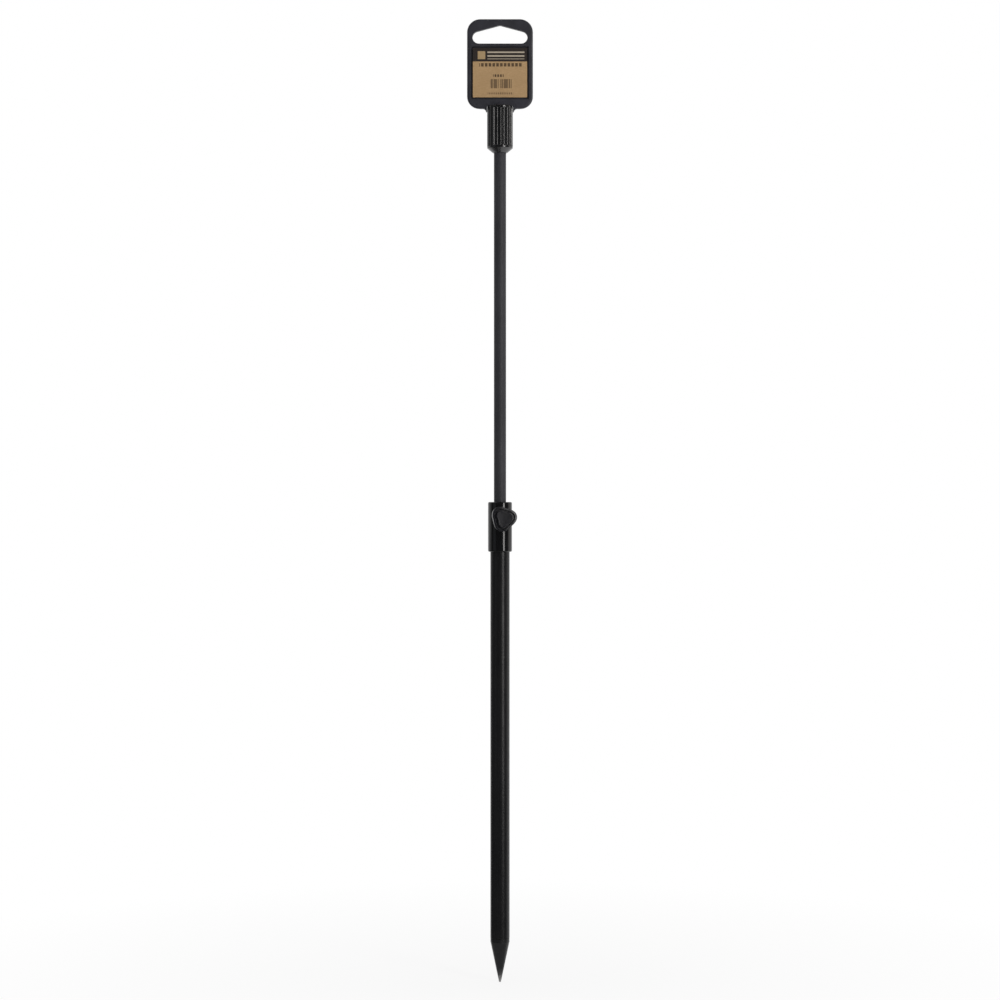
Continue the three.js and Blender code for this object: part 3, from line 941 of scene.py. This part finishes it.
def off_flute(angle):
    """How far an angle is from the middle of the nearest flute."""
    return (angle - flutes.first + flutes.pitch / 2) % flutes.pitch - flutes.pitch / 2


def towards_flute(angle):
    """Draws the ring's corners in, so that one lies on each side of a flute."""
    side_share = 0.4  # of the pitch, where the corners that go to a flute's sides start from
    reach_share = 0.45  # of the pitch, past which the corners stay on the land
    off = off_flute(angle)
    drawn_in = flute_side / (side_share * flutes.pitch)
    return off * (drawn_in - 1) if abs(off) < reach_share * flutes.pitch else 0


def fluted(height):
    """A ring of the head's outside where the flutes' round cutter reaches in at that height."""
    into_end = min(height - flutes.foot, flutes.top - height, flutes.cutter)
    reach = math.sqrt(max(0, flutes.cutter**2 - (flutes.cutter - into_end) ** 2))

    def place(angle):
        off = off_flute(angle)
        room = reach**2 - (flute_centre * math.sin(off)) ** 2
        if room <= 0:
            return head.radius, height
        return min(head.radius, flute_centre * math.cos(off) - math.sqrt(room)), height

    return place


def head_outside():
    into_flute = (0.05, 0.15, 0.3, 0.5, 0.75, 1.0)
    corner_shares = ((0, 1), (0.16, 0.4), (0.48, -0.2))
    rim_radius = head.radius - head.rim_edge
    rings = [
        circle(head.screw_hole, head.floor),
        circle(head.liner, head.floor),
        circle(head.liner, head.top),
        circle(rim_radius, head.top),
        *quarter(circle, rim_radius, head.top, head.rim_edge, -head.rim_edge, 4, True),
        *[fluted(flutes.top - depth) for depth in into_flute],
        *[fluted(flutes.foot + depth) for depth in reversed(into_flute)],
        *[
            circle(head.radius - head.corner * across, head.foot_top + head.corner * up)
            for across, up in corner_shares
        ],
        circle(head.foot_rim + head.foot_step, head.foot + head.foot_lift),
        circle(head.foot_rim, head.foot),
        circle(head.socket + head.socket_edge, head.foot),
        circle(head.socket, head.foot + head.socket_edge),
        circle(head.socket, head.socket_top),
        circle(head.screw_hole, head.socket_top),
        circle(head.screw_hole, head.floor),
    ]
    return skin(rings, around.fluted, towards_flute)


def head_thread_liner():
    lead = head.top - (head.mouth - head_thread.radius)
    shell = threaded(
        head_thread.radius, head_thread.radius + head_thread.depth, head.floor, lead,
        head_thread.pitch, around.head_thread,
    )
    carried_on(
        shell,
        rims(shell, lead),
        [
            circle(head.mouth, head.top),
            circle(head.liner, head.top),
            circle(head.liner, head.floor),
            circle(head_thread.radius, head.floor),
        ],
    )
    return weld(shell)


finished("fluted_head", "stick_head", together(head_outside(), head_thread_liner()), sharp_above=28)

# Tag and card, worked from the middle of the head's rim


def tag_outline(shell):
    ear_foot = tag.foot - tag.ear_drop
    ear_side = tag.notch + tag.ear_tip
    return drawn(
        shell,
        (0, tag.ceiling),
        [
            (tag.notch, tag.ceiling),
            (tag.notch, ear_foot),
            (ear_side, ear_foot),
            (ear_side + tag.ear_drop, ear_foot, -90),
            (tag.side - tag.lower_corner, tag.foot),
            (tag.side - tag.lower_corner, tag.foot + tag.lower_corner, 90),
            (tag.side, tag.top - tag.upper_corner),
            (tag.side - tag.upper_corner, tag.top - tag.upper_corner, 90),
            (0, tag.top),
        ],
    )


def slot_outline(shell):
    rise = slot.height - slot.end_radius
    lean = math.atan2(rise, slot.end_centre) - math.asin(
        slot.end_radius / math.hypot(rise, slot.end_centre)
    )
    peak = slot.foot + slot.height - slot.peak_radius / math.cos(lean)
    return drawn(
        shell,
        (0, slot.foot),
        [
            (slot.end_centre, slot.foot),
            (slot.end_centre, slot.foot + slot.end_radius, 180 - math.degrees(lean)),
            (slot.peak_radius * math.sin(lean), peak + slot.peak_radius * math.cos(lean)),
            (0, peak, math.degrees(lean)),
        ],
    )


def recess_outline(shell):
    side = card.side + tag.room
    foot = card.foot - tag.room
    top = card.top + tag.room
    return drawn(shell, (0, foot), [(side, foot), (side, top), (0, top)])


def sharp_rims(shell, wanted):
    """Sharp edges in the front or back face that pass a test on their middle."""
    sharp = math.radians(60)
    chosen = []
    for edge in shell.edges:
        level = all(abs(abs(v.co.y) - tag.half) < weld_gap for v in edge.verts)
        if level and edge.is_manifold and edge.calc_face_angle() > sharp:
            middle = (edge.verts[0].co + edge.verts[1].co) / 2
            if wanted(middle):
                chosen.append(edge)
    return chosen


def square_plate():
    """The tag before its edges are rounded, with its slot, its recess and the groove in that."""
    shell = bmesh.new()
    outlines = tag_outline(shell) + slot_outline(shell)
    pocket = recess_outline(shell)
    bmesh.ops.triangle_fill(shell, use_beauty=True, edges=outlines + pocket, normal=(0, -1, 0))
    bmesh.ops.contextual_create(shell, geom=pocket)
    bmesh.ops.translate(shell, vec=(0, tag.half, 0), verts=shell.verts)
    made = bmesh.ops.extrude_face_region(shell, geom=shell.faces[:])["geom"]
    bmesh.ops.translate(shell, vec=(0, -2 * tag.half, 0), verts=corners_of(made))
    floor = max(
        (part for part in made if isinstance(part, bmesh.types.BMFace)),
        key=lambda face: face.calc_area(),
    )
    floor = bmesh.ops.extrude_discrete_faces(shell, faces=[floor])["faces"][0]
    bmesh.ops.translate(shell, vec=(0, tag.recess, 0), verts=floor.verts)
    border = bmesh.ops.inset_individual(
        shell, faces=[floor], thickness=tag.room + tag.groove_lap, use_even_offset=True
    )["faces"]
    groove = bmesh.ops.extrude_face_region(shell, geom=border)["geom"]
    bmesh.ops.translate(shell, vec=(0, tag.groove_depth, 0), verts=corners_of(groove))
    bmesh.ops.delete(shell, geom=border, context="FACES")
    return weld(shell)


def tag_plate():
    margin = 0.3  # by which the tests below clear the outlines that they look for
    pocket_side = card.side + tag.room + margin
    pocket_foot = card.foot - tag.room - margin
    pocket_top = card.top + tag.room + margin
    slot_side = slot.end_centre + slot.end_radius + margin
    slot_foot = slot.foot - margin
    slot_top = slot.foot + slot.height + margin
    ears_side = tag.side - tag.lower_corner - margin

    def by_pocket(place):
        return place.y < 0 and abs(place.x) < pocket_side and pocket_foot < place.z < pocket_top

    def by_slot_or_head(place):
        by_slot = abs(place.x) < slot_side and slot_foot < place.z < slot_top
        by_head = abs(place.x) < ears_side and place.z < card.foot
        return by_slot or by_head

    def outside(place):
        return not (by_pocket(place) or by_slot_or_head(place))

    shell = square_plate()
    roundings = (
        (by_pocket, tag.pocket_edge, 2),
        (outside, tag.round_over, 6),
        (by_slot_or_head, tag.edge, 3),
    )
    for wanted, size, segments in roundings:
        bmesh.ops.bevel(
            shell, geom=sharp_rims(shell, wanted), offset=size, affect="EDGES",
            segments=segments, profile=0.5, material=-1,
        )
    return weld(shell)


def tag_plug():
    return turned(
        [
            (0, plug.foot),
            (plug.radius, plug.foot, plug.edge),
            (plug.radius, tag.ceiling, plug.top_edge),
            (plug.root_radius, plug.root_top, plug.root_edge),
            (0, plug.root_top),
        ],
        around.small,
    )


def bowed_card():
    """The card, which stands a little forward at its middle."""
    shell = bmesh.new()
    bmesh.ops.create_grid(shell, x_segments=card.columns, y_segments=card.rows, size=1)
    tall = (card.top - card.foot) / 2
    for corner in shell.verts:
        across, up = corner.co.x, corner.co.y
        bow = card.bow * (1 - across**2) * (1 - card.bow_loss_share * up**2)
        corner.co = (across * card.side, -card.back - bow, card.foot + tall * (1 + up))
    made = bmesh.ops.extrude_face_region(shell, geom=shell.faces[:])["geom"]
    bmesh.ops.translate(shell, vec=(0, -card.thickness, 0), verts=corners_of(made))
    return weld(shell)


finished("moulded_tag", "hang_tag", together(tag_plate(), tag_plug()), on_head_rim)
finished("printed_card", "label_card", bowed_card(), on_head_rim)

# Studio, in metres


def studio_floor():
    """A pale floor that is nearly white to the camera, and keeps a faint shadow near the point.

    Gloss sees it white behind the stick and darker in front, the darker the further out.
    """
    floor = bmesh.new()
    bmesh.ops.create_circle(floor, cap_ends=True, segments=96, radius=6)
    plane = in_scene("studio_floor", mesh_of(floor, "studio_floor"))

    material = bpy.data.materials.new("studio_floor")
    material.use_nodes = True
    material.node_tree.nodes.clear()
    plane.data.materials.append(material)
    wiring = Wiring(material.node_tree)
    pale = wiring.node("BsdfDiffuse", {"Color": grey(0.8)}).outputs[0]
    white = wiring.node("Emission", {"Color": grey(1.0), "Strength": 1.0}).outputs[0]
    rays = wiring.node("LightPath").outputs
    place = wiring.node("TexCoord").outputs["Object"]
    distance = wiring.node("VectorMath", {0: place}, operation="LENGTH").outputs["Value"]
    outward = wiring.node("VectorMath", {0: place}, operation="NORMALIZE").outputs[0]
    in_front = wiring.ramp(distance, 0.6, 0.05, 0.01, 0.14)
    level = wiring.ramp(wiring.along(outward, (0.35, 0.94, 0)), in_front, 1.0, 0.2, 0.5)
    gloss = wiring.node("Emission", {"Color": grey(1.0), "Strength": level}).outputs[0]
    lit = wiring.mix_shader(rays["Is Glossy Ray"], pale, gloss)
    seen_white = wiring.ramp(distance, 0.86, 1.0, 0.02, 0.45)
    share = wiring.math("MULTIPLY", rays["Is Camera Ray"], seen_white)
    wiring.node("OutputMaterial", {"Surface": wiring.mix_shader(share, lit, white)})


def studio_world():
    """A soft grey room that is white to the camera, and white in gloss behind the object."""
    world = bpy.data.worlds.new("studio")
    bpy.context.scene.world = world
    world.use_nodes = True
    world.node_tree.nodes.clear()
    wiring = Wiring(world.node_tree)
    rays = wiring.node("LightPath").outputs
    place = wiring.node("TexCoord").outputs["Generated"]
    level = wiring.ramp(wiring.along(place, (0.02, 1.0, 0)), 0.05, 1.0, -0.2, 0.45)
    room = wiring.node("Background", {"Color": grey(1.0), "Strength": 0.6}).outputs[0]
    gloss = wiring.node("Background", {"Color": grey(0.8), "Strength": level}).outputs[0]
    white = wiring.node("Background", {"Color": grey(1.0), "Strength": 1.0}).outputs[0]
    glossy = wiring.math("MAXIMUM", rays["Is Glossy Ray"], rays["Is Transmission Ray"])
    lit = wiring.mix_shader(glossy, room, gloss)
    seen = wiring.mix_shader(rays["Is Camera Ray"], lit, white)
    wiring.node("OutputWorld", {"Surface": seen})


stick_middle = Vector((0, 0, 0.32))


def softbox(name, degrees, height, distance, width, tall, radiance, colour):
    """A soft lamp that faces the stick, so many degrees round from the front towards +X."""
    light = bpy.data.lights.new(name, "AREA")
    light.shape = "RECTANGLE"
    light.size = width
    light.size_y = tall
    light.energy = radiance * math.pi * width * tall
    light.color = colour
    lamp = in_scene(name, light)
    angle = math.radians(degrees)
    lamp.location = (distance * math.sin(angle), -distance * math.cos(angle), height)
    towards = stick_middle - lamp.location
    lamp.rotation_euler = towards.to_track_quat("-Z", "Y").to_euler()
    lamp.visible_camera = False


def photograph_camera():
    """Square on to the front, so that the picture is 0.66 m wide at the stick's axis."""
    seen_width = 0.66
    distance = 1.7
    height = 0.3181
    data = bpy.data.cameras.new("camera")
    data.type = "PERSP"
    data.sensor_width = 36
    data.lens = data.sensor_width * distance / seen_width
    camera = in_scene("camera", data)
    camera.location = (0, -distance, height)
    camera.rotation_euler = (math.pi / 2, 0, 0)
    bpy.context.scene.camera = camera


studio_floor()
studio_world()
softbox(
    "strip_right", degrees=38, height=0.4, distance=1.3, width=0.3, tall=1.5, radiance=6.5,
    colour=(1.0, 0.98, 0.96),
)
softbox(
    "fill_left", degrees=-55, height=0.5, distance=1.4, width=0.7, tall=1.4, radiance=0.18,
    colour=(0.88, 0.94, 1.0),
)
softbox(
    "warm_right", degrees=98, height=0.5, distance=1.3, width=0.4, tall=1.4, radiance=0.45,
    colour=(1.0, 0.92, 0.85),
)
photograph_camera()
bpy.context.scene.view_settings.view_transform = "Standard"
